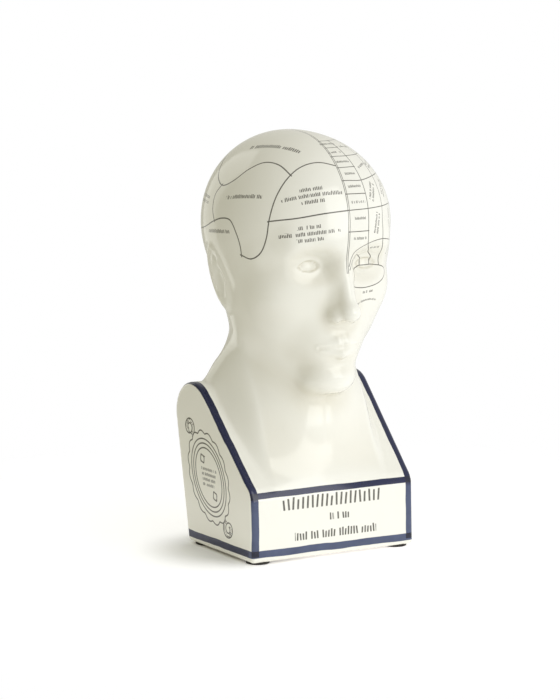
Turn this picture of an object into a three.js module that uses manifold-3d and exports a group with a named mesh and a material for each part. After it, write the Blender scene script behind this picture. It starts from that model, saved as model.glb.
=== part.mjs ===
// Phrenology head: a glazed ceramic head and neck on a sloping block, standing on four foot pads.
// Millimetres, +Z up, the face looks along -Y and +X is to the right seen from the front.
import * as THREE from "three";
import { mergeVertices } from "three/addons/utils/BufferGeometryUtils.js";
import Module from "manifold-3d";

const wasm = await Module();
wasm.setup();
const { degToRad, smoothstep } = THREE.MathUtils;

// The block under the neck
const blockWidth = 126; // at its front
const blockDepth = 86.2; // along its underside
const sideSplay = degToRad(2.3); // the sides spread apart towards the back
const plateHeight = 46.7; // the front plate, from the underside to the chest edge
const plateLean = 2; // how far the plate's top edge stands back
const chestSlope = degToRad(42.4);
const backLean = degToRad(11.2); // the back leans outwards as it rises
const ridgeRadius = 22.2; // where the chest rolls over into the back
const sideEdgeRadius = 2.5;
const footEdgeRadius = sideEdgeRadius + 0.5;
const chestEdgeRadius = sideEdgeRadius + 1.5;

// The foot pads
const padDiameter = 16;
const padThickness = 1.2;
const padInset = 9.5; // from the block's edges to a pad's centre
const padGap = 0.3;

// The head and neck
const totalHeight = 284; // from the table to the crown
const headHeight = 173; // from the chin to the crown
const headSetBack = 54.5; // from the block's front edge to the middle of the head
const neckBlend = 45; // how far the neck flares into the block
const leastBlend = 3; // what is left of the flare at the edges of the block's sides and back
const flareMargin = 23; // how far from those faces the flare starts to die out
const straightEdge = 1; // the stretch beside the sides that keeps only the least blend

// Places on the face, in shares of the head height above or below the eyes
const browLine = 0.092;
const noseBase = -0.213;
const mouthLine = -0.3115;
const chinLine = -0.5;
const eyeSide = 0.123; // from the middle of the face to the middle of an eye
const eyeballRadius = 0.0755;
const lidThickness = 0.0055;
const earHalfHeight = 0.138;
const earHalfWidth = 0.07;

// The mesh of the head: columns around it, and rows in each stretch from the crown to the neck
const columnCount = 80;
const crownRows = 12;
const faceRows = 20;
const jawRows = 7;
const neckRows = 12;

const eyeHeight = totalHeight - padThickness - padGap - headHeight / 2; // above the underside

// Distance helpers: negative inside a shape, in the units of the point that they are given
const spread = Math.hypot;

function blob([x, y, z], [cx, cy, cz], [rx, ry, rz]) {
  const [dx, dy, dz] = [x - cx, y - cy, z - cz];
  const scaled = spread(dx / rx, dy / ry, dz / rz);
  const slope = spread(dx / rx ** 2, dy / ry ** 2, dz / rz ** 2);
  return slope < 1e-9 ? -Math.min(rx, ry, rz) : (scaled * (scaled - 1)) / slope;
}

function rod([x, y, z], [ax, ay, az], [bx, by, bz], startRadius, endRadius) {
  const [dx, dy, dz] = [bx - ax, by - ay, bz - az];
  const along = ((x - ax) * dx + (y - ay) * dy + (z - az) * dz) / (dx ** 2 + dy ** 2 + dz ** 2);
  const t = Math.min(Math.max(along, 0), 1);
  const radius = startRadius + (endRadius - startRadius) * t;
  return spread(x - ax - dx * t, y - ay - dy * t, z - az - dz * t) - radius;
}

function blend(a, b, reach) {
  const share = Math.max(reach - Math.abs(a - b), 0) / reach;
  return Math.min(a, b) - (share ** 2 * reach) / 4;
}

function carve(a, b, reach) {
  return -blend(-a, b, reach);
}

function roundedEdge(a, b, radius) {
  const inside = Math.min(-radius, Math.max(a, b));
  return inside + spread(Math.max(radius + a, 0), Math.max(radius + b, 0));
}

// One ear, a shallow plate lying back against the head, with a rolled rim and a hollow inside it
function earDistance([x, y, z]) {
  const lean = 0.3;
  const splay = 0.08;
  const tuck = 0.14;
  const thickness = 0.024;
  const [dy, dz] = [y + 0.045, z + 0.062];
  const forward = dy * Math.cos(lean) + dz * Math.sin(lean);
  const up = dz * Math.cos(lean) - dy * Math.sin(lean);
  const out = x - 0.298 + splay * forward - tuck * up;
  const outline = blob([0, forward, up], [0, 0, 0], [1, earHalfWidth, earHalfHeight]);
  const plate = roundedEdge(out - thickness, outline + 0.35 * out, 0.022);
  const ring = spread(forward / earHalfWidth, up / earHalfHeight);
  const turn = Math.atan2(up / earHalfHeight, -forward / earHalfWidth);
  const grooveEnds = smoothstep(turn, -1.2, -0.8) * smoothstep(-turn, -2.6, -2.1);
  const groove = 0.011 * Math.exp(-(((ring - 0.66) / 0.12) ** 2)) * grooveEnds;
  const bowl = 0.02 * Math.exp(-(spread((forward - 0.006) / 0.034, (up + 0.022) / 0.052) ** 4));
  return plate + (groove * smoothstep(up, -0.085, -0.035) + bowl) * smoothstep(out, 0, thickness);
}

function neckDistance(p) {
  const throat = rod(p, [0, -0.068, -0.05], [0, -0.02, -0.56], 0.215, 0.248);
  const sideMuscle = rod(p, [0.175, -0.07, -0.2], [0.04, 0.15, -0.6], 0.05, 0.036);
  return blend(throat, sideMuscle, 0.09);
}

function noseDistance(p) {
  const tip = noseBase + 0.041;
  let d = rod(p, [0, 0.335, 0.045], [0, 0.365, noseBase + 0.048], 0.03, 0.052);
  d = blend(d, rod(p, [0, 0.362, 0.04], [0, 0.428, noseBase + 0.055], 0.018, 0.026), 0.04);
  d = blend(d, blob(p, [0, 0.43, tip], [0.036, 0.037, 0.031]), 0.03);
  d = blend(d, blob(p, [0.04, 0.385, noseBase + 0.03], [0.024, 0.036, 0.028]), 0.022);
  return carve(d, blob(p, [0.022, 0.412, noseBase - 0.004], [0.013, 0.022, 0.014]), 0.016);
}

// The eyeball with its lids, open in the shape left between two arcs
function eyeDistance([x, y, z]) {
  const ball = spread(x - eyeSide, y - 0.25, z);
  const upperArc = spread(x - eyeSide, z + 0.046) - 0.079;
  const lowerArc = spread(x - eyeSide, z - 0.094) - 0.115;
  const opening = Math.max(upperArc, lowerArc, 0.28 - y);
  const lids = carve(ball - eyeballRadius - lidThickness, opening, 0.01);
  return [lids, ball - eyeballRadius];
}

function addMouth(face, p) {
  const lipEnd = mouthLine + 0.0025;
  let d = carve(face, rod(p, [0, 0.404, -0.236], [0, 0.405, -0.27], 0.01, 0.012), 0.03);
  d = blend(d, rod(p, [0.016, 0.362, mouthLine + 0.0225], [0.082, 0.336, lipEnd], 0.022, 0.009), 0.018);
  d = blend(d, rod(p, [0, 0.362, mouthLine - 0.024], [0.068, 0.336, mouthLine - 0.008], 0.026, 0.01), 0.018);
  d = carve(d, rod(p, [0, 0.39, mouthLine], [0.05, 0.38, lipEnd], 0.004, 0.0035), 0.012);
  d = carve(d, rod(p, [0.05, 0.38, lipEnd], [0.09, 0.347, mouthLine - 0.0015], 0.0035, 0.003), 0.012);
  return carve(d, blob(p, [0, 0.41, mouthLine - 0.0685], [0.075, 0.04, 0.018]), 0.045);
}

// The whole head in shares of its height: x to the side, y forward and z up from the eye line
function headDistance(x, y, z) {
  const p = [spread(x, 0.003), y, z];
  let d = blob(p, [0, -0.004, 0.112], [0.337, 0.37, 0.378]); // skull
  d = blend(d, blob(p, [0, 0.115, 0.175], [0.285, 0.285, 0.255]), 0.14); // forehead
  d = blend(d, blob(p, [0, -0.13, 0.17], [0.285, 0.24, 0.285]), 0.12); // back of the head
  d = blend(d, blob(p, [0, 0.115, -0.115], [0.284, 0.252, 0.31]), 0.1); // face
  d = blend(d, rod(p, [0.208, 0.005, -0.18], [0.19, 0.03, -0.272], 0.056, 0.048), 0.1); // jaw corner
  d = blend(d, rod(p, [0.19, 0.03, -0.272], [0.06, 0.245, chinLine + 0.062], 0.048, 0.052), 0.08);
  d = blend(d, blob(p, [0, 0.287, chinLine + 0.07], [0.088, 0.075, 0.07]), 0.06); // chin
  d = blend(d, blob(p, [0, 0.262, mouthLine + 0.0165], [0.125, 0.11, 0.105]), 0.07);
  d = blend(d, blob(p, [0.178, 0.205, -0.098], [0.078, 0.082, 0.066]), 0.09); // cheekbone
  d = blend(d, rod(p, [0.045, 0.335, browLine - 0.007], [0.165, 0.3, browLine + 0.01], 0.04, 0.036), 0.07);
  d = blend(d, rod(p, [0.165, 0.3, browLine + 0.01], [0.238, 0.195, browLine - 0.047], 0.036, 0.028), 0.07);
  d = carve(d, blob(p, [eyeSide, 0.408, 0.004], [0.088, 0.096, 0.054]), 0.055); // eye socket
  const [lids, ball] = eyeDistance(p);
  d = blend(blend(d, lids, 0.026), ball, 0.004);
  d = blend(d, noseDistance(p), 0.035);
  d = addMouth(d, p);
  d = blend(d, earDistance(p), 0.024);
  return blend(d, neckDistance(p), 0.07);
}

const halfWidthAt = (y) => blockWidth / 2 + y * Math.tan(sideSplay);

// The block's side profile: z over y, from the front foot edge round to the back foot edge
const chestRise = Math.tan(chestSlope);
const backRun = Math.tan(backLean);
const plateTilt = Math.atan2(plateLean, plateHeight);
const ridgeY = (blockDepth + backRun * (plateHeight - plateLean * chestRise)) / (1 - backRun * chestRise);
const ridgeZ = plateHeight + (ridgeY - plateLean) * chestRise;

const profile = [
  { place: new THREE.Vector2(0, 0), radius: footEdgeRadius },
  { place: new THREE.Vector2(plateLean, plateHeight), radius: chestEdgeRadius },
  { place: new THREE.Vector2(ridgeY, ridgeZ), radius: ridgeRadius },
  { place: new THREE.Vector2(blockDepth, 0), radius: footEdgeRadius },
].map((corner, i, all) => {
  const before = all.at(i - 1).place.clone().sub(corner.place).normalize();
  const after = all[(i + 1) % all.length].place.clone().sub(corner.place).normalize();
  const half = Math.acos(before.dot(after)) / 2;
  const inward = before.clone().add(after).normalize();
  const centre = inward.multiplyScalar(corner.radius / Math.sin(half)).add(corner.place);
  const start = new THREE.Vector2(before.y, -before.x).angle();
  return { ...corner, centre, start, turn: Math.PI - 2 * half };
});

function profileShape() {
  const points = profile.flatMap(({ centre, radius, start, turn }) => {
    const arc = new THREE.EllipseCurve(centre.x, centre.y, radius, radius, start, start - turn, true);
    return arc.getPoints(Math.max(2, Math.round(turn / degToRad(12))));
  });
  return new THREE.Shape(points);
}

function blockGeometry() {
  const geometry = new THREE.ExtrudeGeometry(profileShape(), {
    depth: blockWidth - 2 * sideEdgeRadius,
    bevelSize: sideEdgeRadius,
    bevelThickness: sideEdgeRadius,
    bevelOffset: -sideEdgeRadius,
    bevelSegments: 3,
  });
  geometry.translate(0, 0, sideEdgeRadius - blockWidth / 2);
  const across = new THREE.Vector3(1, 0, 0);
  const towardsBack = new THREE.Vector3(0, 1, 0);
  const upwards = new THREE.Vector3(0, 0, 1);
  geometry.applyMatrix4(new THREE.Matrix4().makeBasis(towardsBack, upwards, across));
  const places = geometry.getAttribute("position");
  for (let i = 0; i < places.count; i += 1) {
    places.setX(i, (places.getX(i) * halfWidthAt(places.getY(i))) / (blockWidth / 2));
  }
  return geometry;
}

function blockDistance(x, y, z) {
  const front = z * Math.sin(plateTilt) - y * Math.cos(plateTilt);
  const chest = (z - plateHeight) * Math.cos(chestSlope) - (y - plateLean) * Math.sin(chestSlope);
  const back = (y - blockDepth) * Math.cos(backLean) - z * Math.sin(backLean);
  const ridge = profile[2].centre;
  const [dy, dz] = [y - ridge.x, z - ridge.y];
  const overRidge = dy * Math.cos(chestSlope) + dz * Math.sin(chestSlope) > 0;
  const beforeBack = dy * Math.sin(backLean) + dz * Math.cos(backLean) > 0;
  let d = overRidge && beforeBack ? spread(dy, dz) - ridgeRadius : Math.max(chest, back);
  d = roundedEdge(d, front, chestEdgeRadius);
  d = roundedEdge(d, -z, footEdgeRadius);
  return roundedEdge(d, Math.abs(x) - halfWidthAt(y), sideEdgeRadius);
}

function headAt(x, y, z) {
  return headDistance(x / headHeight, (headSetBack - y) / headHeight, (z - eyeHeight) / headHeight) * headHeight;
}

// The flare dies out towards the block's sides and back, so that their edges run straight
function flareReach({ x, y, z }) {
  const fromSide = halfWidthAt(y) - Math.abs(x);
  const fromBack = (blockDepth - y) * Math.cos(backLean) + z * Math.sin(backLean);
  const beside = smoothstep(fromSide, straightEdge, flareMargin);
  return leastBlend + neckBlend * beside * smoothstep(fromBack, 0, flareMargin);
}

// The neck flares into the block and ends a little way inside it, so that the two cross cleanly
const sink = 0.7;
function flaredHead(place) {
  const { x, y, z } = place;
  return blend(headAt(x, y, z), blockDistance(x, y, z) + sink, flareReach(place));
}

// Goes out from a point inside along a direction until the surface is reached
function surfacePoint(start, direction) {
  const place = start.clone();
  let stride = 1;
  for (let step = 0; step < 200 && stride > 0.002; step += 1) {
    stride = Math.max(-flaredHead(place), 0) * 0.6;
    place.addScaledVector(direction, stride);
  }
  return place;
}

function rayDirection(around, elevation) {
  const flat = Math.cos(elevation);
  return new THREE.Vector3(Math.sin(around) * flat, -Math.cos(around) * flat, Math.sin(elevation));
}

// Columns stand closer together over the face and the ears
function columnAngles() {
  const steps = 720;
  const weights = Array.from({ length: steps }, (_, i) => {
    const side = Math.abs(180 - ((i + 0.5) * 360) / steps);
    const fromFront = 180 - side;
    const face = 1.7 * smoothstep(-fromFront, -70, -50);
    const ear = 0.9 * smoothstep(fromFront, 74, 84) * smoothstep(-fromFront, -122, -112);
    return 0.8 + face + ear;
  });
  const total = weights.reduce((sum, w) => sum + w, 0);
  const angles = [];
  let sum = 0;
  weights.forEach((w, i) => {
    while (angles.length < columnCount && (angles.length * total) / columnCount < sum + w - 1e-9) {
      const share = ((angles.length * total) / columnCount - sum) / w;
      angles.push(((i + share) / steps) * 2 * Math.PI);
    }
    sum += w;
  });
  return angles;
}

// Each row looks out from a point on the spine, which runs down from the brow to inside the block
const browPoint = new THREE.Vector3(0, headSetBack, eyeHeight + browLine * headHeight);
const jawPoint = new THREE.Vector3(0, headSetBack + 0.045 * headHeight, eyeHeight - 0.27 * headHeight);
const neckFoot = new THREE.Vector3(0, headSetBack + 0.03 * headHeight, 0);
neckFoot.z = plateHeight + (neckFoot.y - plateLean) * chestRise - 8;

// The lowest ray of each column leaves the block where the flare has died out
function lastElevation(around) {
  let [low, high] = [degToRad(-70), degToRad(50)];
  for (let step = 0; step < 24; step += 1) {
    const middle = (low + high) / 2;
    const place = surfacePoint(neckFoot, rayDirection(around, middle));
    if (headAt(place.x, place.y, place.z) > 0.85 * flareReach(place)) low = middle;
    else high = middle;
  }
  return (low + high) / 2;
}

// Lowers some of the last rays, so that the ring of their ends has no sudden step
function lastElevations(angles) {
  const lasts = angles.map(lastElevation);
  return angles.map((angle) => {
    const allowed = lasts.map((last, k) => {
      const apart = Math.abs(angles[k] - angle);
      return last + 1.3 * Math.min(apart, 2 * Math.PI - apart);
    });
    return Math.min(...allowed);
  });
}

function headGeometry() {
  const angles = columnAngles();
  const lasts = lastElevations(angles);
  const rows = [];
  for (let i = 1; i <= crownRows; i += 1) {
    const elevation = (Math.PI / 2) * (1 - i / crownRows);
    rows.push(angles.map((a) => surfacePoint(browPoint, rayDirection(a, elevation))));
  }
  for (let i = 1; i <= faceRows; i += 1) {
    const start = browPoint.clone().lerp(jawPoint, i / faceRows);
    rows.push(angles.map((a) => surfacePoint(start, rayDirection(a, 0))));
  }
  for (let i = 1; i <= jawRows; i += 1) {
    rows.push(angles.map((a, j) => surfacePoint(jawPoint, rayDirection(a, (lasts[j] * i) / jawRows))));
  }
  for (let i = 1; i <= neckRows; i += 1) {
    const start = jawPoint.clone().lerp(neckFoot, i / neckRows);
    rows.push(angles.map((a, j) => surfacePoint(start, rayDirection(a, lasts[j]))));
  }
  const crown = surfacePoint(browPoint, new THREE.Vector3(0, 0, 1));
  const foot = neckFoot.clone().setZ(neckFoot.z / 2);
  const points = [crown, ...rows.flat(), foot];
  const n = columnCount;
  const faces = [];
  for (let j = 0; j < n; j += 1) {
    const next = (j + 1) % n;
    faces.push([0, 1 + j, 1 + next]);
    for (let i = 0; i + 1 < rows.length; i += 1) {
      const [upper, lower] = [1 + i * n, 1 + (i + 1) * n];
      const [a, b, c, d] = [upper + j, lower + j, lower + next, upper + next];
      const halves = j < n / 2 ? [[a, b, d], [b, c, d]] : [[a, b, c], [a, c, d]];
      faces.push(...halves);
    }
    const last = 1 + (rows.length - 1) * n;
    faces.push([last + j, points.length - 1, last + next]);
  }
  return new THREE.BufferGeometry().setFromPoints(points).setIndex(faces.flat());
}

function solidOf(geometry) {
  const plain = new THREE.BufferGeometry();
  plain.setAttribute("position", geometry.getAttribute("position"));
  plain.setIndex(geometry.getIndex());
  const merged = mergeVertices(plain, 1e-4);
  const vertProperties = merged.attributes.position.array;
  const triVerts = new Uint32Array(merged.index.array);
  return new wasm.Manifold(new wasm.Mesh({ numProp: 3, vertProperties, triVerts }));
}

function geometryOf(solid) {
  const { vertProperties, triVerts } = solid.getMesh();
  const geometry = new THREE.BufferGeometry();
  geometry.setAttribute("position", new THREE.BufferAttribute(vertProperties, 3));
  geometry.setIndex(new THREE.BufferAttribute(triVerts, 1));
  geometry.computeVertexNormals();
  return geometry;
}

// The glazed ceramic, one casting
const glaze = new THREE.MeshStandardMaterial({ color: 0xf1f0e6, roughness: 0.18, metalness: 0 });
const bustSolid = wasm.Manifold.union(solidOf(blockGeometry()), solidOf(headGeometry()));
const headAndBlock = new THREE.Mesh(geometryOf(bustSolid), glaze);
headAndBlock.name = "head_and_block";
headAndBlock.geometry.computeBoundingBox();
const reach = headAndBlock.geometry.boundingBox;
const middleY = (reach.min.y + reach.max.y) / 2;
headAndBlock.position.set(0, -middleY, padThickness + padGap);

const part = new THREE.Group();
part.name = "phrenology_head";
part.add(headAndBlock);

// Four pads under the corners
const corners = {
  front_left: [-1, padInset],
  front_right: [1, padInset],
  back_left: [-1, blockDepth - padInset],
  back_right: [1, blockDepth - padInset],
};
for (const [corner, [side, y]] of Object.entries(corners)) {
  const rubber = new THREE.MeshStandardMaterial({ color: 0x1b1613, roughness: 0.85, metalness: 0 });
  const disc = new THREE.CylinderGeometry(padDiameter / 2, padDiameter / 2, padThickness, 28);
  const pad = new THREE.Mesh(disc.rotateX(Math.PI / 2), rubber);
  pad.name = `pad_${corner}`;
  pad.position.set(side * (halfWidthAt(y) - padInset), y - middleY, padThickness / 2);
  part.add(pad);
}

export default part;
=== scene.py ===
import math

import bpy
import numpy as np
from mathutils.kdtree import KDTree
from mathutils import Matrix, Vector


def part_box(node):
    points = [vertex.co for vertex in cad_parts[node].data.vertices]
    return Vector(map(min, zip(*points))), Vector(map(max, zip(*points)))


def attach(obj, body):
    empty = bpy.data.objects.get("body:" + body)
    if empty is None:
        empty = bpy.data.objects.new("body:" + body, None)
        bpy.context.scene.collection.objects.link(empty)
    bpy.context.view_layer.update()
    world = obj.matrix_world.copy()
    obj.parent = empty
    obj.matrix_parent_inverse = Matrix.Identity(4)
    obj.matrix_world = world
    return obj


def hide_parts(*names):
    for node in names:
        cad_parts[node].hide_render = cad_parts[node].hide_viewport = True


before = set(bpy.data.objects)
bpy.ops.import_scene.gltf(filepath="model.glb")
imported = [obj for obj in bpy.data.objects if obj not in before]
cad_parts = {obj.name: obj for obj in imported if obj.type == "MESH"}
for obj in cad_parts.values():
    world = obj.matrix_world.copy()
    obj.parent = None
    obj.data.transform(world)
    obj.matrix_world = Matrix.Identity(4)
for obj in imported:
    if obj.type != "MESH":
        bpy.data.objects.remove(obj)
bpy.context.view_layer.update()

# The camera stands left of the front, a little above the head, and looks slightly down at it through a
# long lens. Its place is in mm from the middle of the foot of the block's front.
pad_inset = 9.5
pad_low, pad_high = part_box("pad_front_left")
foot_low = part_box("head_and_block")[0]
frame_shift = np.array([0, (pad_low[1] + pad_high[1]) / 2 - pad_inset / 1000, foot_low[2]])
camera_place = np.array([-833.5, -1404.4, 384.1])
camera_tilt, camera_turn = math.radians(81.47), math.radians(-29.4)
camera_data = bpy.data.cameras.new("camera")
camera_data.sensor_width = 36
camera_data.lens = 127.4
camera = bpy.data.objects.new("camera", camera_data)
camera.location = camera_place / 1000 + frame_shift
camera.rotation_euler = (camera_tilt, 0, camera_turn)
bpy.context.scene.collection.objects.link(camera)
bpy.context.scene.camera = camera

# The head and its block are one hollow casting of white earthenware, poured in a plaster mould. Fine
# lines and rows of strokes are transferred on, navy bands are brushed along the block's edges, and a
# thick glossy cream glaze covers all but the underside.

# Sizes in mm, in the casting's own frame: x to the right, y back from the block's front edge, z up from
# its foot.
block_width = 126.0
block_depth = 86.2
side_splay = math.radians(2.3)
plate_height = 46.7
plate_lean = 2.0
chest_slope = math.radians(42.4)
back_lean = math.radians(11.2)
ridge_radius = 22.2
side_edge_radius = 2.5
foot_edge_radius = side_edge_radius + 0.5
chest_edge_radius = side_edge_radius + 1.5
head_height = 173.0
head_set_back = 54.5
eye_level = 196.0
neck_blend, least_blend = 45.0, 3.0
flare_margin, straight_edge = 23.0, 1.0

# The places of the features, as shares of the head's height from the eyes' level.
brow, nose_base, mouth, chin = 0.092, -0.213, -0.3115, -0.5
eye_side, eyeball, lid = 0.123, 0.0755, 0.0055
ear_high, ear_wide = 0.138, 0.07


def smoothstep(x, low, high):
    t = np.clip((x - low) / (high - low), 0, 1)
    return t * t * (3 - 2 * t)


def blob(p, centre, radii):
    d = [a - c for a, c in zip(p, centre)]
    scaled = np.sqrt(sum((a / r) ** 2 for a, r in zip(d, radii)))
    slope = np.sqrt(sum((a / r**2) ** 2 for a, r in zip(d, radii)))
    return scaled * (scaled - 1) / np.maximum(slope, 1e-9)


def rod(p, start, end, start_radius, end_radius):
    run = [b - a for a, b in zip(start, end)]
    d = [v - a for v, a in zip(p, start)]
    t = np.clip(sum(a * b for a, b in zip(d, run)) / sum(a * a for a in run), 0, 1)
    gap = np.sqrt(sum((a - b * t) ** 2 for a, b in zip(d, run)))
    return gap - (start_radius + (end_radius - start_radius) * t)


def blend(a, b, reach):
    share = np.maximum(reach - np.abs(a - b), 0) / reach
    return np.minimum(a, b) - share**2 * reach / 4


def carve(a, b, reach):
    return -blend(-a, b, reach)


def rounded_edge(a, b, radius):
    inside = np.minimum(-radius, np.maximum(a, b))
    return inside + np.hypot(np.maximum(radius + a, 0), np.maximum(radius + b, 0))


def ear(p):
    x, y, z = p
    lean, splay, tuck, thickness = 0.3, 0.08, 0.14, 0.024
    dy, dz = y + 0.045, z + 0.062
    forward = dy * np.cos(lean) + dz * np.sin(lean)
    up = dz * np.cos(lean) - dy * np.sin(lean)
    out = x - 0.298 + splay * forward - tuck * up
    outline = blob((0 * x, forward, up), (0, 0, 0), (1, ear_wide, ear_high))
    plate = rounded_edge(out - thickness, outline + 0.35 * out, 0.022)
    ring = np.hypot(forward / ear_wide, up / ear_high)
    turn = np.arctan2(up / ear_high, -forward / ear_wide)
    ends = smoothstep(turn, -1.2, -0.8) * smoothstep(-turn, -2.6, -2.1)
    groove = 0.011 * np.exp(-(((ring - 0.66) / 0.12) ** 2)) * ends
    bowl = 0.02 * np.exp(-(np.hypot((forward - 0.006) / 0.034, (up + 0.022) / 0.052) ** 4))
    return plate + (groove * smoothstep(up, -0.085, -0.035) + bowl) * smoothstep(out, 0, thickness)


def neck(p):
    throat = rod(p, (0, -0.068, -0.05), (0, -0.02, -0.56), 0.215, 0.248)
    muscle = rod(p, (0.175, -0.07, -0.2), (0.04, 0.15, -0.6), 0.05, 0.036)
    return blend(throat, muscle, 0.09)


def nose(p):
    d = rod(p, (0, 0.335, 0.045), (0, 0.365, nose_base + 0.048), 0.03, 0.052)
    d = blend(d, rod(p, (0, 0.362, 0.04), (0, 0.428, nose_base + 0.055), 0.018, 0.026), 0.04)
    d = blend(d, blob(p, (0, 0.43, nose_base + 0.041), (0.036, 0.037, 0.031)), 0.03)
    d = blend(d, blob(p, (0.04, 0.385, nose_base + 0.03), (0.024, 0.036, 0.028)), 0.022)
    return carve(d, blob(p, (0.022, 0.412, nose_base - 0.004), (0.013, 0.022, 0.014)), 0.016)


def add_eye(face, p):
    x, y, z = p
    face = carve(face, blob(p, (eye_side, 0.408, 0.004), (0.088, 0.096, 0.054)), 0.055)
    ball = np.sqrt((x - eye_side) ** 2 + (y - 0.25) ** 2 + z**2)
    upper = np.hypot(x - eye_side, z + 0.046) - 0.079
    lower = np.hypot(x - eye_side, z - 0.094) - 0.115
    opening = np.maximum(np.maximum(upper, lower), 0.28 - y)
    lids = carve(ball - eyeball - lid, opening, 0.01)
    return blend(blend(face, lids, 0.026), ball - eyeball, 0.004)


def add_mouth(face, p):
    end = mouth + 0.0025
    d = carve(face, rod(p, (0, 0.404, -0.236), (0, 0.405, -0.27), 0.01, 0.012), 0.03)
    d = blend(d, rod(p, (0.016, 0.362, mouth + 0.0225), (0.082, 0.336, end), 0.022, 0.009), 0.018)
    d = blend(d, rod(p, (0, 0.362, mouth - 0.024), (0.068, 0.336, mouth - 0.008), 0.026, 0.01), 0.018)
    d = carve(d, rod(p, (0, 0.39, mouth), (0.05, 0.38, end), 0.004, 0.0035), 0.012)
    d = carve(d, rod(p, (0.05, 0.38, end), (0.09, 0.347, mouth - 0.0015), 0.0035, 0.003), 0.012)
    return carve(d, blob(p, (0, 0.41, mouth - 0.0685), (0.075, 0.04, 0.018)), 0.045)


def head(x, y, z):
    p = (np.hypot(x, 0.003), y, z)
    d = blob(p, (0, -0.004, 0.112), (0.337, 0.37, 0.378))
    d = blend(d, blob(p, (0, 0.115, 0.175), (0.285, 0.285, 0.255)), 0.14)
    d = blend(d, blob(p, (0, -0.13, 0.17), (0.285, 0.24, 0.285)), 0.12)
    d = blend(d, blob(p, (0, 0.115, -0.115), (0.284, 0.252, 0.31)), 0.1)
    d = blend(d, rod(p, (0.208, 0.005, -0.18), (0.19, 0.03, -0.272), 0.056, 0.048), 0.1)
    d = blend(d, rod(p, (0.19, 0.03, -0.272), (0.06, 0.245, chin + 0.062), 0.048, 0.052), 0.08)
    d = blend(d, blob(p, (0, 0.287, chin + 0.07), (0.088, 0.075, 0.07)), 0.06)
    d = blend(d, blob(p, (0, 0.262, mouth + 0.0165), (0.125, 0.11, 0.105)), 0.07)
    d = blend(d, blob(p, (0.178, 0.205, -0.098), (0.078, 0.082, 0.066)), 0.09)
    d = blend(d, rod(p, (0.045, 0.335, brow - 0.007), (0.165, 0.3, brow + 0.01), 0.04, 0.036), 0.07)
    d = blend(d, rod(p, (0.165, 0.3, brow + 0.01), (0.238, 0.195, brow - 0.047), 0.036, 0.028), 0.07)
    d = add_eye(d, p)
    d = blend(d, nose(p), 0.035)
    d = add_mouth(d, p)
    d = blend(d, ear(p), 0.024)
    return blend(d, neck(p), 0.07)


def half_width(y):
    """Half the block's width at a depth. Its sides spread apart towards the back."""
    return block_width / 2 + y * math.tan(side_splay)


def block(x, y, z):
    lean = np.arctan2(plate_lean, plate_height)
    chest_normal = (-np.sin(chest_slope), np.cos(chest_slope))
    back_normal = (np.cos(back_lean), -np.sin(back_lean))
    chest_reach = chest_normal[0] * plate_lean + chest_normal[1] * plate_height
    back_reach = back_normal[0] * block_depth
    ridge_y, ridge_z = np.linalg.solve(
        [chest_normal, back_normal], [chest_reach - ridge_radius, back_reach - ridge_radius]
    )
    chest = y * chest_normal[0] + z * chest_normal[1] - chest_reach
    back = y * back_normal[0] + z * back_normal[1] - back_reach
    over = (y - ridge_y) * np.cos(chest_slope) + (z - ridge_z) * np.sin(chest_slope) > 0
    before = (y - ridge_y) * np.sin(back_lean) + (z - ridge_z) * np.cos(back_lean) > 0
    ridge = np.hypot(y - ridge_y, z - ridge_z) - ridge_radius
    d = np.where(over & before, ridge, np.maximum(chest, back))
    d = rounded_edge(d, z * np.sin(lean) - y * np.cos(lean), chest_edge_radius)
    d = rounded_edge(d, -z, foot_edge_radius)
    return rounded_edge(d, np.abs(x) - half_width(y), side_edge_radius)


def flare_reach(x, y, z):
    """How far the neck flares into the block: less and less towards the block's sides and back."""
    from_back = (block_depth - y) * np.cos(back_lean) + z * np.sin(back_lean)
    beside = smoothstep(half_width(y) - np.abs(x), straight_edge, flare_margin)
    return least_blend + neck_blend * beside * smoothstep(from_back, 0, flare_margin)


def surface(points):
    """How far points lie outside the casting's surface, in mm."""
    x, y, z = np.moveaxis(points, -1, 0)
    on_head = head(x / head_height, (head_set_back - y) / head_height, (z - eye_level) / head_height)
    return blend(on_head * head_height, block(x, y, z), flare_reach(x, y, z))


def steepness(points, step=0.02):
    """The way out of the surface at each point, about one long."""
    moves = np.eye(3) * step
    return np.stack([surface(points + m) - surface(points - m) for m in moves], axis=-1) / (2 * step)


def settle(points, rounds=2):
    """Moves points onto the surface along its steepest way."""
    for _ in range(rounds):
        way = steepness(points)
        points = points - way * (surface(points) / (way**2).sum(axis=-1))[..., None]
    return points


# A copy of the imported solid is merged, remeshed in even steps, smoothed and settled onto the surface. The
# step is in metres.
even_step = 0.00135
smoothing_rounds, smoothing_share = 4, 0.6
bpy.ops.object.select_all(action="DESELECT")
ceramic = bpy.data.objects.new("glazed_head_and_block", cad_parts["head_and_block"].data.copy())
bpy.context.scene.collection.objects.link(ceramic)
ceramic.select_set(True)
bpy.context.view_layer.objects.active = ceramic
bpy.ops.object.mode_set(mode="EDIT")
bpy.ops.mesh.select_all(action="SELECT")
bpy.ops.mesh.remove_doubles(threshold=1e-6)
bpy.ops.object.mode_set(mode="OBJECT")
even = ceramic.modifiers.new("even_mesh", "REMESH")
even.mode = "VOXEL"
even.voxel_size = even_step
bpy.ops.object.modifier_apply(modifier=even.name)

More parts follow.
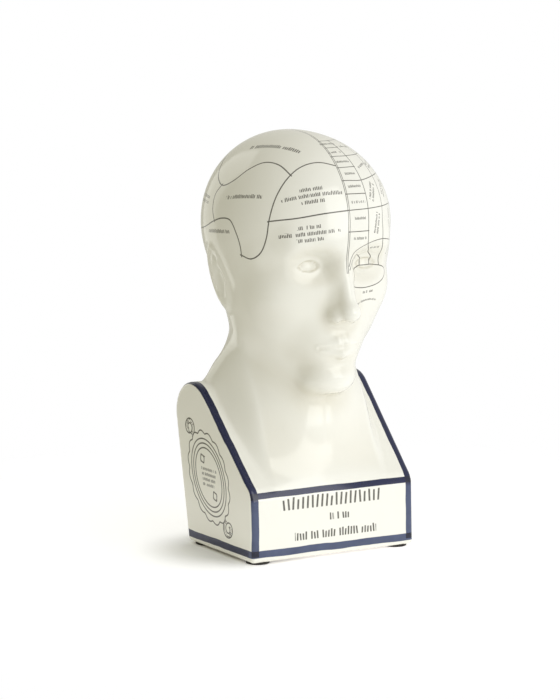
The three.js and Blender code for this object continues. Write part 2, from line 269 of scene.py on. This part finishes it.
mesh = ceramic.data
count = len(mesh.vertices)
spots = np.empty(count * 3, np.float32)
mesh.vertices.foreach_get("co", spots)
spots = (spots.reshape(-1, 3).astype(float) - frame_shift) * 1000
ends = np.empty(len(mesh.edges) * 2, np.int32)
mesh.edges.foreach_get("vertices", ends)
starts, ends = ends[::2], ends[1::2]
neighbours = np.bincount(starts, minlength=count) + np.bincount(ends, minlength=count)
for _ in range(smoothing_rounds):
    around = np.stack([
        np.bincount(starts, spots[ends, axis], count) + np.bincount(ends, spots[starts, axis], count)
        for axis in range(3)
    ], axis=1) / neighbours[:, None]
    spots = settle(spots + (around - spots) * smoothing_share)
mesh.vertices.foreach_set("co", (spots / 1000 + frame_shift).astype(np.float32).ravel())
outward = steepness(spots)
outward /= np.linalg.norm(outward, axis=1)[:, None]
mesh.shade_smooth()
mesh.normals_split_custom_set_from_vertices(outward.astype(np.float32))

# The transfers. A place on the skull is given in degrees, round from the front towards the right and up
# from level, as seen from the skull's middle.
skull_middle = np.array([0, head_set_back, 205.0])
past_skull = 135.0


def flowing(points, steps=48):
    """A smooth curve through the points."""
    p = np.array(points, float)
    p = np.vstack([2 * p[0] - p[1], p, 2 * p[-1] - p[-2]])
    t = np.linspace(0, 1, steps, endpoint=False)[:, None]
    parts = [
        b + (c - a) * t / 2 + (2 * a - 5 * b + 4 * c - d) * t**2 / 2 + (3 * b - a - 3 * c + d) * t**3 / 2
        for a, b, c, d in zip(p, p[1:], p[2:], p[3:])
    ]
    return np.vstack([*parts, p[-2:-1]])


def on_skull(ways, rounds=50, share=0.8):
    """Where the ways from the skull's middle leave the casting."""
    ways = ways / np.linalg.norm(ways, axis=1)[:, None]
    reach = np.full(len(ways), past_skull)
    for _ in range(rounds):
        reach -= surface(skull_middle + ways * reach[:, None]) * share
    return skull_middle + ways * reach[:, None]


def ways_of(places):
    turn, rise = np.radians(np.array(places, float)).T
    return np.stack([np.sin(turn) * np.cos(rise), -np.cos(turn) * np.cos(rise), np.sin(rise)], axis=1)


def skull_line(*places):
    return on_skull(flowing(ways_of(places)))


def skull_ring(centre, half_across, half_up, tilt, points=121):
    """A ring round a place on the skull, its half sizes in degrees."""
    turn = np.linspace(0, 2 * np.pi, points)
    across, up = half_across * np.cos(turn), half_up * np.sin(turn)
    lean = math.radians(tilt)
    return on_skull(ways_of(np.stack([
        centre[0] + across * np.cos(lean) - up * np.sin(lean),
        centre[1] + across * np.sin(lean) + up * np.cos(lean),
    ], axis=1)))


# Lines that meet or cross are in different families. Each family's lines stay well apart.
double_lines = [
    skull_line((0, -9), (0, 8), (0, 24), (0, 40), (0, 56), (0, 72), (0, 88),
               (180, 76), (180, 60), (180, 44), (180, 28), (180, 12), (180, -2)),
]
families = [
    [  # the long loop on the plain half, and the uprights on the fine half
        skull_line((-1.5, 46), (-13, 48.5), (-25, 46.5), (-34, 40.5), (-40.5, 31), (-44, 20), (-46, 9),
                   (-50, 0.5), (-57, -3.5), (-65, -2)),
        skull_line((15, 66), (15, 52), (14.5, 38), (13.5, 24), (13, 11), (13.8, 4.6), (19, 0.5),
                   (24, -3.5), (24.2, -8)),
        skull_line((36, 67), (33, 53), (30, 40), (27.5, 24), (25.5, 12), (25.5, 5.5), (29, -0.8),
                   (30.6, -8)),
        skull_line((2, -8), (6.2, -2.2), (12, -1.8), (17.2, -5), (17.5, -8.6)),
        skull_line((60, 68), (52, 55), (48, 41), (45, 25), (44, 10), (47, 0), (46, -7)),
        skull_line((78, 58), (72, 43), (68, 26), (66, 12), (68, 4)),
        skull_line((104, 58), (98, 43), (94, 27), (93, 12), (96, 5)),
        skull_line((130, 60), (125, 44), (121, 27), (120, 12), (124, 2), (122, -8)),
        skull_line((155, 57), (152, 41), (149, 24), (149, 8), (152, -6)),
        skull_line((-94, 38.2), (-99, 32), (-98, 24), (-94, 17.5)),
        skull_line((-129, 9.2), (-134, 24), (-132, 38), (-122, 50.5)),
        skull_line((-153, 10), (-157, 0), (-150, -11), (-138, -18)),
    ],
    [  # the lines that run round the skull
        skull_line((-44.4, 18), (-29, 19.2), (-14, 21), (0, 22), (14, 22.5), (30, 23.5), (48, 25), (68, 27),
                   (94, 27), (121, 26), (149, 23), (179, 20)),
        skull_line((0.5, 37), (14, 37), (30, 39.5), (49, 42), (70, 44), (98, 44), (125, 43), (153, 41),
                   (179, 39)),
        skull_line((1, 52), (15, 52.5), (34, 54), (55, 57), (79, 59.5), (104, 60), (130, 59), (155, 56),
                   (179, 53)),
        skull_line((2, 66), (15, 66.5), (36, 68), (62, 70), (95, 73), (135, 73), (178, 70)),
        skull_line((0.5, 11.5), (6, 11.5), (12.5, 11.5)),
        skull_line((1.5, -6), (5, 1), (12.9, 4.6), (23.7, 6.5), (35, 5.4), (47, 4.5), (67, 3.5), (94, 5),
                   (120, 3), (150, -1), (178, -3)),
        skull_line((-32.5, 42), (-42, 49), (-55, 51.5), (-68, 48), (-80, 41.5), (-93, 38), (-107, 42),
                   (-122, 50.5), (-145, 57), (-179, 59)),
        skull_line((-179, 12), (-153, 10), (-130, 9), (-110, 12), (-95, 17), (-84, 19.5), (-74, 18.5),
                   (-68, 11), (-65.5, 4), (-65, -2)),
    ],
    [  # the ring over the eye and the short rules by the middle
        skull_ring((21, -14.6), 16.5, 5.5, 6),
        skull_line((0.7, 30), (7, 30), (13, 30)),
        skull_line((0.8, 44.5), (7, 44.7), (14, 45)),
        skull_line((0.9, 59), (7, 59.2), (14, 59.5)),
    ],
]

# The cartouche on each side of the block: a scalloped oval round three plain ones, a volute beyond each
# end, and a small lozenge at each end inside. It leans back towards the ridge, and is given in mm.
cartouche_middle = (57.5, 49.0)
cartouche_lean = math.radians(36)
cartouche_half = np.array([24.0, 33.5])
scallops, scallop_depth = 16, 0.07
volute_across, volute_up, volute_radius, volute_turns = 3.0, 40.5, 7.2, 1.75
lozenge_middle, lozenge_half_across, lozenge_half_up = 14.5, 3.0, 3.6


def cartouche_line(side, across, up):
    """A line on one side of the block, from its run across and up the cartouche."""
    back = cartouche_middle[0] + across * math.cos(cartouche_lean) + up * math.sin(cartouche_lean)
    high = cartouche_middle[1] + up * math.cos(cartouche_lean) - across * math.sin(cartouche_lean)
    return np.stack([side * half_width(back), back, high], axis=1)


def oval(share, scallops=0, depth=0.0, points=241):
    turn = np.linspace(0, 2 * np.pi, points)
    reach = share + depth * np.abs(np.cos(turn * scallops / 2))
    return cartouche_half[0] * reach * np.cos(turn), cartouche_half[1] * reach * np.sin(turn)


def volute(middle, radius, turns, shrink=0.44, points=90):
    """A spiral that starts on the side towards the ovals and winds in on itself."""
    turn = np.linspace(0, turns, points)
    reach = radius * (1 - shrink * turn)
    angle = math.atan2(-middle[1], -middle[0]) - 2 * math.pi * turn
    return middle[0] + reach * np.cos(angle), middle[1] + reach * np.sin(angle)


def lozenge(middle, half_across, half_up):
    return np.array([-1, 0, 1, 0, -1.0]) * half_across, middle + np.array([0, 1, 0, -1, 0.0]) * half_up


for side in (-1, 1):
    families[0].append(cartouche_line(side, *oval(0.95, scallops, scallop_depth)))
    families[1].append(cartouche_line(side, *oval(0.84)))
    families[2].append(cartouche_line(side, *oval(0.74)))
    families[0].append(cartouche_line(side, *oval(0.64)))
    for above in (-1, 1):
        curl = volute((above * volute_across, above * volute_up), volute_radius, volute_turns)
        families[1].append(cartouche_line(side, *curl))
        diamond = lozenge(above * lozenge_middle, lozenge_half_across, lozenge_half_up)
        families[1].append(cartouche_line(side, *diamond))


def line_fields(lines, most=6.0, spacing=0.4):
    """How far each spot lies to the side of the nearest line, and how far from it in all."""
    samples, tangents = [], []
    for line in lines:
        lengths = np.concatenate([[0], np.cumsum(np.linalg.norm(np.diff(line, axis=0), axis=1))])
        even = np.linspace(0, lengths[-1], max(3, int(lengths[-1] / spacing)))
        path = np.stack([np.interp(even, lengths, line[:, axis]) for axis in range(3)], axis=1)
        samples.append(path)
        tangents.append(np.gradient(path, axis=0))
    samples, tangents = np.vstack(samples), np.vstack(tangents)
    sideways = np.cross(steepness(samples), tangents)
    sideways /= np.linalg.norm(sideways, axis=1)[:, None]
    tree = KDTree(len(samples))
    for number, sample in enumerate(samples):
        tree.insert(sample, number)
    tree.balance()
    found = [tree.find(spot) for spot in spots]
    nearest = np.array([f[1] for f in found])
    away = np.array([f[2] for f in found])
    signed = ((spots - samples[nearest]) * sideways[nearest]).sum(axis=1)
    return np.clip(signed, -most, most), np.minimum(away, most)


def store(name, *columns):
    values = np.stack(columns, axis=1).astype(np.float32)
    mesh.attributes.new(name, "FLOAT_VECTOR", "POINT").data.foreach_set("vector", values.ravel())


# How hollow each spot is, judged like ambient occlusion from the surface a little way out. It darkens the
# glaze below as pooled glaze and as painted shade.
hollow_reach = 7.0
hollow = np.clip(1 - surface(spots + outward * hollow_reach) / hollow_reach, 0, 1)
signed_fields, near_fields = zip(*[line_fields(lines) for lines in families])
store("line_side", *signed_fields)
store("line_near", *near_fields)
store("middle_line", *line_fields(double_lines), hollow)

# Rows of strokes, transferred like the lines: place, the place they run towards, length in mm, rows,
# stroke height in mm, and the radius in mm of a row that bends. Three rows are longest in the middle. Those
# on the plate give the place across and up it, the length, the height, the room for each stroke in mm, and
# half a stroke's share of that room. Those in the cartouche are level, and give length, rows and height.
row_pitch = 1.6
stroke_room, stroke_weight = 0.42, 0.3
skull_rows = [
    ((-20, 30.5), (-10, 31), 41, 3, 2.7, 0), ((-21.5, 11.5), (-10, 12.5), 41, 3, 2.6, 0),
    ((-66, 32), (-54, 31.5), 38, 1, 2.8, 0), ((-89, 11.5), (-77, 12), 34, 1, 2.7, 0),
    ((-54, 64), (-26, 57.5), 44, 1, 3.6, 0), ((-116, 28), (-105, 28), 22, 2, 2.3, 0),
    ((-160, 38), (-145, 38), 30, 2, 2.3, 0), ((-165, -4), (-150, -5), 20, 1, 2.3, 0),
    ((-135, 2), (-120, 3), 18, 2, 2.2, 0), ((7.2, 34), (14, 34), 13, 1, 1.9, 0),
    ((7.2, 26), (14, 26), 12, 1, 1.9, 0), ((7.2, 18), (13, 18), 13, 1, 1.9, 0),
    ((7.2, 8), (14, 8), 12, 1, 1.9, 0), ((7.2, 41), (13, 41), 13, 1, 1.9, 0),
    ((7.2, 48.5), (13, 48.5), 13, 1, 1.9, 0), ((7.2, 55.5), (13, 55.6), 13, 1, 1.9, 0),
    ((7.2, 63), (13, 63), 13, 1, 1.9, 0), ((20.5, 31), (24, 36), 16, 2, 1.9, 0),
    ((20.5, 15), (22, 20), 19, 2, 1.9, 0), ((36, 33), (39, 37), 16, 2, 1.9, 0),
    ((36, 15), (37, 20), 19, 1, 1.9, 0), ((21.5, 2.2), (27, 2.2), 9, 1, 1.9, 0),
    ((37, 0), (38, 4), 10, 1, 1.9, 0), ((24, 46), (28, 47), 16, 1, 1.9, 0),
    ((42, 48), (47, 49), 19, 2, 1.9, 0), ((56, 34), (62, 35), 20, 2, 1.9, 0),
    ((55, 15), (62, 15), 18, 2, 1.9, 0), ((82, 35), (88, 35), 22, 2, 1.9, 0),
    ((80, 16), (86, 16), 22, 2, 1.9, 0), ((64, 50), (72, 51), 19, 1, 1.9, 0),
    ((89, 51), (96, 51), 19, 1, 1.9, 0), ((110, 35), (116, 35), 20, 2, 1.9, 0),
    ((107, 15), (113, 15), 20, 2, 1.9, 0), ((137, 34), (143, 34), 22, 2, 1.9, 0),
    ((135, 14), (141, 13), 22, 2, 1.9, 0), ((165, 30), (170, 30), 22, 2, 1.9, 0),
    ((165, 10), (170, 10), 22, 2, 1.9, 0), ((25, 60.5), (30, 60.5), 16, 1, 1.9, 0),
    ((70, 65), (75, 65), 19, 1, 1.9, 0), ((115, 51), (120, 51), 18, 1, 1.9, 0),
    ((142, 50), (147, 50), 19, 1, 1.9, 0), ((19, -22.7), (27, -22.2), 13, 1, 1.9, 0),
    ((19, -27.1), (27, -26.3), 22, 1, 1.5, 26),
]
plate_rows = [
    ((0.5, 38.0), 87, 9.0, 3.7, 0.2), ((4.5, 26.4), 15, 5.0, 2.0, 0.31), ((1.5, 15.2), 66, 5.8, 2.2, 0.28),
]
cartouche_rows = (21, 4, 2.2)

rows_found = []
for place, toward, length, rows, height, bend in skull_rows:
    centre, aim = on_skull(ways_of([place, toward]))
    rows_found.append((centre, aim - centre, length, rows, height, bend, height * stroke_room, stroke_weight))
for (x, z), length, height, room, weight in plate_rows:
    centre = np.array([x, z * plate_lean / plate_height, z])
    rows_found.append((centre, np.array([1.0, 0, 0]), length, 1, height, 0, room, weight))
for side in (-1, 1):
    centre = np.array([side * half_width(cartouche_middle[0]), *cartouche_middle])
    aim = np.array([0, side, 0.0])
    rows_found.append((centre, aim, *cartouche_rows, 0, cartouche_rows[2] * stroke_room, stroke_weight))

row_margin, row_depth = 3.2, 14
stroke_rise = 1.15
ragged_share, most_ragged = 0.14, 3.0
far_off = 9.0
row_values = np.zeros((count, 3))
row_limits = np.full((count, 3), far_off)
nearness = np.full(count, far_off)
for number, (centre, aim, length, rows, height, bend, room, weight) in enumerate(rows_found):
    out = steepness(centre[None])[0]
    along = aim - out * (aim @ out) / (out @ out)
    along /= np.linalg.norm(along)
    up = np.cross(out / np.linalg.norm(out), along)
    offset = spots - centre
    u, v, deep = offset @ along, offset @ up, offset @ out
    if bend:
        u, v = bend * np.arctan2(u, bend + v), np.hypot(u, bend + v) - bend
    in_rows = v / (height * row_pitch) + rows / 2
    past_end = np.abs(u) - length / 2
    if rows == 3:
        past_end += length / 4 * np.abs(np.floor(in_rows) - 1)
    past_side = np.abs(v) - height * (row_pitch * (rows - 1) + stroke_rise) / 2
    here = (past_end < row_margin) & (past_side < row_margin) & (np.abs(deep) < row_depth)
    past = np.maximum(past_end, past_side)
    nearer = here & (past < nearness)
    nearness[nearer] = past[nearer]
    row_values[nearer] = np.stack([u / room, in_rows, np.full(count, number)], axis=1)[nearer]
    ragged = min(ragged_share * length, most_ragged)
    row_limits[nearer] = np.stack([past_end / ragged, past_side, np.full(count, weight)], axis=1)[nearer]
store("row_place", *row_values.T)
store("row_limit", *row_limits.T)


class Socket:
    """An output of a material's node. Arithmetic on it adds Math nodes."""

    def __init__(self, output):
        self.output = output

    def node(self, kind, settings, inputs, output=0):
        """Adds another node and returns its output. Settings come before inputs."""
        tree = self.output.id_data
        made = tree.nodes.new("ShaderNode" + kind)
        for name, value in settings.items():
            setattr(made, name, value)
        for name, value in inputs.items():
            if isinstance(value, Socket):
                tree.links.new(value.output, made.inputs[name])
            else:
                made.inputs[name].default_value = value
        return Socket(made.outputs[output])

    def math(self, operation, *values):
        return self.node("Math", {"operation": operation}, dict(enumerate(values)))

    def __add__(self, other):
        return self.math("ADD", self, other)

    __radd__ = __add__

    def __sub__(self, other):
        return self.math("SUBTRACT", self, other)

    def __rsub__(self, other):
        return self.math("SUBTRACT", other, self)

    def __mul__(self, other):
        return self.math("MULTIPLY", self, other)

    __rmul__ = __mul__

    def __truediv__(self, other):
        return self.math("DIVIDE", self, other)

    def __abs__(self):
        return self.math("ABSOLUTE", self)

    def floor(self):
        return self.math("FLOOR", self)

    def larger(self, other):
        return self.math("MAXIMUM", self, other)

    def smaller(self, other):
        return self.math("MINIMUM", self, other)

    def above(self, level, softness):
        """0 below the level and 1 above it, with a soft change."""
        return self.node("MapRange", {"interpolation_type": "SMOOTHSTEP"}, {
            "Value": self, "From Min": level - softness / 2, "From Max": level + softness / 2,
        })

    def below(self, level, softness):
        return 1 - self.above(level, softness)

    def parts(self):
        return [self.node("SeparateXYZ", {}, {0: self}, axis) for axis in range(3)]

    def noise(self, scale, detail):
        return self.node("TexNoise", {}, {"Vector": self, "Scale": scale, "Detail": detail})

    def mix(self, first, second):
        """The first colour where this is 0 and the second where it is 1."""
        return self.node("Mix", {"data_type": "RGBA"}, {0: self, 6: first, 7: second}, 2)

    def attribute(self, name):
        return self.node("Attribute", {"attribute_name": name}, {}, "Vector")


def new_finish(name):
    """A material with its Principled shader and the place of each point on its piece, in metres."""
    finish = bpy.data.materials.new(name)
    finish.use_nodes = True
    shader = finish.node_tree.nodes["Principled BSDF"]
    place = Socket(finish.node_tree.nodes.new("ShaderNodeTexCoord").outputs["Object"])
    return finish, shader, place


def feed(shader, name, value):
    """Gives a shader's input a value, or the output that varies it."""
    if isinstance(value, Socket):
        value.output.id_data.links.new(value.output, shader.inputs[name])
    else:
        shader.inputs[name].default_value = value


def colour(red, green, blue):
    """A screen colour of 0 to 255 as the light it stands for."""
    parts = [c / 255 for c in (red, green, blue)]
    return (*[c / 12.92 if c <= 0.04045 else ((c + 0.055) / 1.055) ** 2.4 for c in parts], 1)


glaze_cream = colour(238, 236, 225)
glaze_drift = colour(228, 226, 217)
# Darker, warmer glaze for hollows: pooled glaze and painted shade.
glaze_pooled_and_shaded = colour(216, 210, 190)
transfer_ink = colour(58, 53, 44)
navy_brush = colour(2, 16, 66)
navy_thick = colour(0, 6, 40)
# Lighter navy for the front plate: thinner paint, and partly a painted reflection.
navy_thin_and_sheen = colour(78, 88, 116)
bare_clay = colour(222, 214, 200)

glaze, glaze_shader, place = new_finish("cream_glaze_with_transfers")
x, y, z = [part * 1000 for part in place.parts()]
wander = place.noise(70, 2) - 0.5
fine_wander = place.noise(420, 2) - 0.5

# Transferred lines: broader on the plain half than on the fine half, and a little broader on the block.
block_top = 118
on_block = z.below(block_top, 2)
fine_half, plain_extra, block_extra = 0.3, 0.14, 0.04
line_reach = 1.45
line_half = x.below(0, 1.5) * plain_extra + fine_half + on_block * block_extra
sides, nears = place.attribute("line_side").parts(), place.attribute("line_near").parts()
middle_side, middle_near, hollows = place.attribute("middle_line").parts()
lines = None
for side, near in zip(sides, nears):
    drawn = (abs(side) - line_half).below(0, 0.22) * near.below(line_reach, 0.1)
    lines = drawn if lines is None else lines.larger(drawn)
pair_offset, pair_half, pair_reach = 0.55, 0.22, 1.9
pair = abs(abs(middle_side) - pair_offset)
lines = lines.larger((pair - pair_half).below(0, 0.2) * middle_near.below(pair_reach, 0.1))

# Rows of strokes: each cell along a row has one stroke of its own height and slant, or a gap.
cell, row_up, row_number = place.attribute("row_place").parts()
past_end, past_side, weight = place.attribute("row_limit").parts()
row_number = (row_number + 0.5).floor()
row = row_up.floor()
up = row_up - row - 0.5
cell_number = cell.floor()
seed = place.node("CombineXYZ", {}, {0: cell_number, 1: row, 2: row_number * 3.7})
slants, heights, gaps = place.node("TexWhiteNoise", {}, {"Vector": seed}, "Color").parts()
row_seed = place.node("CombineXYZ", {}, {0: row_number, 1: row, 2: 0.5})
ragged = place.node("TexWhiteNoise", {}, {"Vector": row_seed}, "Value")
most_slant, height_spread, gap_share = 3.4, 0.18, 0.13
lean = (slants - 0.5) * up * weight * most_slant
stroke = abs(cell - cell_number - 0.5 + lean).below(weight, weight * 0.4)
half_stroke = 0.5 / row_pitch
stroke = stroke * up.above(-half_stroke, 0.05)
stroke = stroke * (up - heights * height_spread).below(half_stroke - height_spread, 0.05)
stroke = stroke * gaps.above(gap_share, 0.01) * (past_end + ragged).below(0, 0.05) * past_side.below(0, 0.1)

# Brushed bands, in mm: along the foot, up the side edges and over the ridge, and across the chest's edge.
foot_level = foot_low[2] * 1000
band_low, band_high = foot_level + 3.3, foot_level + 8.2
edge_inner, edge_outer, edge_low = 5.5, 0.4, band_low + 1
cross_below, cross_half, cross_deep = 1.2, 2.1, 14
brush_shake, brush_sway, brush_soft = 1.1, 1.6, 0.35
edge_turn = (chest_slope + math.atan2(plate_height, plate_lean)) / 2
edge_y = plate_lean + frame_shift[1] * 1000
edge_z = plate_height + foot_level
across = (y - edge_y) * math.cos(edge_turn) + (z - edge_z) * math.sin(edge_turn)
brush = wander * brush_shake + (place.noise(24, 1) - 0.5) * brush_sway
from_side = block_width / 2 - abs(x) + (y - frame_shift[1] * 1000) * math.tan(side_splay)
foot_band = (z + brush).above(band_low, brush_soft) * (z + brush * 0.8).below(band_high, brush_soft)
edge_band = (from_side - brush).below(edge_inner, brush_soft)
edge_band = edge_band * (from_side - brush * 0.5).above(edge_outer, 0.3)
edge_band = edge_band * z.above(edge_low, 0.5) * on_block
cross_band = abs(across + brush * 0.5 + cross_below).below(cross_half, brush_soft)
cross_band = cross_band * y.below(edge_y + cross_deep, 1) * from_side.above(edge_outer, 0.3)
bands = foot_band.larger(edge_band).larger(cross_band)
crossings = (foot_band + edge_band + cross_band - 1).larger(0)
thickness = place.noise(160, 3) * 0.7 + crossings * 0.8
navy = thickness.smaller(1).mix(navy_brush, navy_thick)
# On the front plate the navy is lighter: thinner paint, and a painted reflection of the light that falls on
# the front.
on_plate = y.below(edge_y + 3, 4) * z.below(edge_z - 5, 4)
thinness_and_sheen = 0.45 + place.noise(90, 3) * 0.6
navy = (on_plate * (1 - crossings) * thinness_and_sheen).smaller(1).mix(navy, navy_thin_and_sheen)

# The glaze: a little darker in hollows, as pooled glaze and as painted shade, drifting in tone, and wiped off
# the underside.
bare_height, pooling_and_shade, drift_share = 0.25, 1.5, 0.35
glaze_roughness, roughness_drift, clay_rougher = 0.1, 0.05, 0.65
underside = z.below(foot_level + bare_height, 0.2)
# Painted shade and pooled glaze: darker and warmer in the hollows.
body = (hollows * pooling_and_shade).smaller(1).mix(glaze_cream, glaze_pooled_and_shaded)
body = (place.noise(28, 3) * drift_share).mix(body, glaze_drift)
inked = lines.larger(stroke) * (1 - (fine_wander + 0.5) * 0.2)
body = inked.mix(body, transfer_ink)
body = bands.mix(body, navy)
body = underside.mix(body, bare_clay)
feed(glaze_shader, "Base Color", body)
roughness = underside * clay_rougher + place.noise(35, 2) * roughness_drift + glaze_roughness
feed(glaze_shader, "Roughness", roughness)
feed(glaze_shader, "IOR", 1.52)
ripple = place.noise(55, 1) + fine_wander * 0.03
feed(glaze_shader, "Normal", place.node("Bump", {}, {
    "Strength": 0.25, "Distance": 0.0006, "Height": ripple,
}, "Normal"))
mesh.materials.clear()
mesh.materials.append(glaze)
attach(ceramic, "root")
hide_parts("head_and_block")

# The pads are four small bumpers of dark rubber, moulded with a soft rim and a shallow hollow under the
# middle, and stuck into the corners of the underside, so that the glazed foot doesn't scratch the table.
rubber_dark = colour(30, 26, 24)
rubber_dusty = colour(48, 42, 38)
rubber, rubber_shader, place = new_finish("dark_rubber")
grain = place.noise(2500, 3)
feed(rubber_shader, "Base Color", grain.mix(rubber_dark, rubber_dusty))
feed(rubber_shader, "Roughness", grain * 0.25 + 0.55)
feed(rubber_shader, "Normal", place.node("Bump", {}, {
    "Strength": 0.3, "Distance": 0.0001, "Height": grain,
}, "Normal"))

# The rim's rounding and the hollow's depth are in metres, the rest are shares of the pad's radius.
rim_round, hollow_depth = 0.0004, 0.0003
rim_share, slope_share = 0.3, 0.12
for corner in ("front_left", "front_right", "back_left", "back_right"):
    low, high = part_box("pad_" + corner)
    centre = [(a + b) / 2 for a, b in zip(low, high)]
    radius, thickness = (high[0] - low[0]) / 2, high[2] - low[2]
    bpy.ops.object.select_all(action="DESELECT")
    bpy.ops.mesh.primitive_cylinder_add(vertices=64, radius=radius, depth=thickness, location=centre)
    pad = bpy.context.object
    pad.name = "rubber_pad_" + corner
    bpy.ops.object.transform_apply(location=True, rotation=True, scale=True)
    for part in (pad.data.vertices, pad.data.edges, pad.data.polygons):
        part.foreach_set("select", [False] * len(part))
    for face in pad.data.polygons:
        face.select = face.normal.z < -0.9
    bpy.ops.object.mode_set(mode="EDIT")
    bpy.ops.mesh.select_mode(type="FACE")
    bpy.ops.mesh.inset(thickness=radius * rim_share, depth=0)
    bpy.ops.mesh.inset(thickness=radius * slope_share, depth=-hollow_depth)
    bpy.ops.object.mode_set(mode="OBJECT")
    bevel = pad.modifiers.new("soft_rim", "BEVEL")
    bevel.width = rim_round
    bevel.segments = 4
    bevel.limit_method = "ANGLE"
    bevel.angle_limit = math.radians(50)
    bpy.ops.object.modifier_apply(modifier=bevel.name)
    bpy.ops.object.shade_smooth_by_angle(angle=math.radians(30))
    pad.data.materials.append(rubber)
    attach(pad, "root")
    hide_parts("pad_" + corner)

# The studio: a pale, glowing floor with a painted shadow close to the object's left, fading into a white
# surround, a tall soft box in front to the right and another behind to the left, a low soft light in front,
# and a surround that is brightest at the front right.
bpy.ops.object.select_all(action="DESELECT")
bpy.ops.mesh.primitive_circle_add(vertices=96, radius=6, fill_type="NGON")
floor = bpy.context.object
floor.name = "floor"
paper, paper_shader, place = new_finish("pale_floor")
feed(paper_shader, "Base Color", colour(252, 252, 250))
feed(paper_shader, "Roughness", 0.9)
# The floor glows to stay white, but not in a circle beside the object's left, which leaves a painted shadow
# there.
shade_middle, shade_radius, shade_softness = (-0.052, 0.005, 0), 0.047, 0.045
fade_radius, fade_softness = 0.27, 0.26
floor_glow = (0.35, 0.35, 0.37, 1)
distance = place.node("VectorMath", {"operation": "LENGTH"}, {0: place}, "Value")
from_shade = place.node("VectorMath", {"operation": "DISTANCE"}, {0: place, 1: shade_middle}, "Value")
glow = from_shade.above(shade_radius, shade_softness).mix((0, 0, 0, 1), floor_glow)
feed(paper_shader, "Emission Color", glow)
feed(paper_shader, "Emission Strength", 1.0)
feed(paper_shader, "Alpha", distance.below(fade_radius, fade_softness))
floor.data.materials.append(paper)


def soft_light(name, round_from_front, distance, middle, width, height, watts, tint, mirrored):
    """A standing soft box that faces the object, round from the front towards the right in degrees. The
    glaze mirrors it, or else it only lights."""
    data = bpy.data.lights.new(name, "AREA")
    data.shape = "RECTANGLE"
    data.size, data.size_y = width, height
    data.energy = watts
    data.color = tint
    light = bpy.data.objects.new(name, data)
    turn = math.radians(round_from_front)
    light.location = (math.sin(turn) * distance, -math.cos(turn) * distance, middle)
    light.rotation_euler = (math.pi / 2, 0, turn)
    light.visible_camera = False
    light.visible_glossy = mirrored
    light.visible_diffuse = not mirrored
    bpy.context.scene.collection.objects.link(light)


soft_light("tall_soft_box", round_from_front=15, distance=1.3, middle=0.85, width=0.78, height=1.75,
           watts=9, tint=(1, 1, 0.98), mirrored=True)
soft_light("left_rim", round_from_front=-166, distance=1.3, middle=0.5, width=0.6, height=1.6,
           watts=2.4, tint=(1, 1, 0.98), mirrored=True)
soft_light("low_fill", round_from_front=15, distance=1.2, middle=0.3, width=1.0, height=0.8,
           watts=4.5, tint=(0.84, 0.9, 1), mirrored=False)
brightest_way = (0.8, -0.6, 0)
darkest, brightest = (0.39, 0.38, 0.285, 1), (1.09, 1.09, 1.09, 1)
surround = bpy.data.worlds.new("white_surround")
bpy.context.scene.world = surround
surround.use_nodes = True
surround_nodes, surround_links = surround.node_tree.nodes, surround.node_tree.links
surround_nodes.clear()
lit, seen = [surround_nodes.new("ShaderNodeBackground") for _ in range(2)]
way_out = surround_nodes.new("ShaderNodeTexCoord")
facing = surround_nodes.new("ShaderNodeVectorMath")
facing.operation = "DOT_PRODUCT"
facing.inputs[1].default_value = brightest_way
share = surround_nodes.new("ShaderNodeMapRange")
share.inputs["From Min"].default_value = -1
tones = surround_nodes.new("ShaderNodeMix")
tones.data_type = "RGBA"
tones.inputs[6].default_value = darkest
tones.inputs[7].default_value = brightest
surround_links.new(way_out.outputs["Generated"], facing.inputs[0])
surround_links.new(facing.outputs["Value"], share.inputs["Value"])
surround_links.new(share.outputs[0], tones.inputs[0])
surround_links.new(tones.outputs[2], lit.inputs["Color"])
lit.inputs["Strength"].default_value = 1.0
seen.inputs["Color"].default_value = (1, 1, 1, 1)
seen.inputs["Strength"].default_value = 1.0
rays = surround_nodes.new("ShaderNodeLightPath")
either = surround_nodes.new("ShaderNodeMixShader")
surround_output = surround_nodes.new("ShaderNodeOutputWorld")
surround_links.new(rays.outputs["Is Camera Ray"], either.inputs[0])
surround_links.new(lit.outputs[0], either.inputs[1])
surround_links.new(seen.outputs[0], either.inputs[2])
surround_links.new(either.outputs[0], surround_output.inputs["Surface"])
bpy.context.scene.view_settings.view_transform = "Standard"
